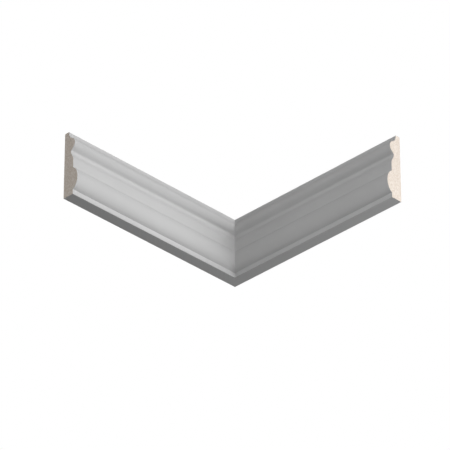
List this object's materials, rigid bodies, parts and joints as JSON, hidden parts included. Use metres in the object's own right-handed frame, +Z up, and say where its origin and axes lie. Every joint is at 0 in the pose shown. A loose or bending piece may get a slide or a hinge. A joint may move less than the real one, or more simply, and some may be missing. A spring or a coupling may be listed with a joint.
{
  "type": "wall moulding corner",
  "caption": "Primed fibreboard wall moulding with a cove, rounded beads and a flat band, mitred and glued into an inside corner to trim a wall.",
  "frame": {"origin": "on the line where the backs of the two lengths meet, which is the corner of the walls, at the bottom edge", "axes": "+Z up the wall; +X along the right length, whose back lies on y = 0; -Y along the left length, whose back lies on x = 0"},
  "size_m": [0.214, 0.2215, 0.07],
  "materials": {
    "primed_fibreboard": "matt white primer over fibreboard, bare on the sawn ends and the back"
  },
  "bodies": {
    "root": {"left_length": "primed_fibreboard", "right_length": "primed_fibreboard"}
  },
  "joints": []
}
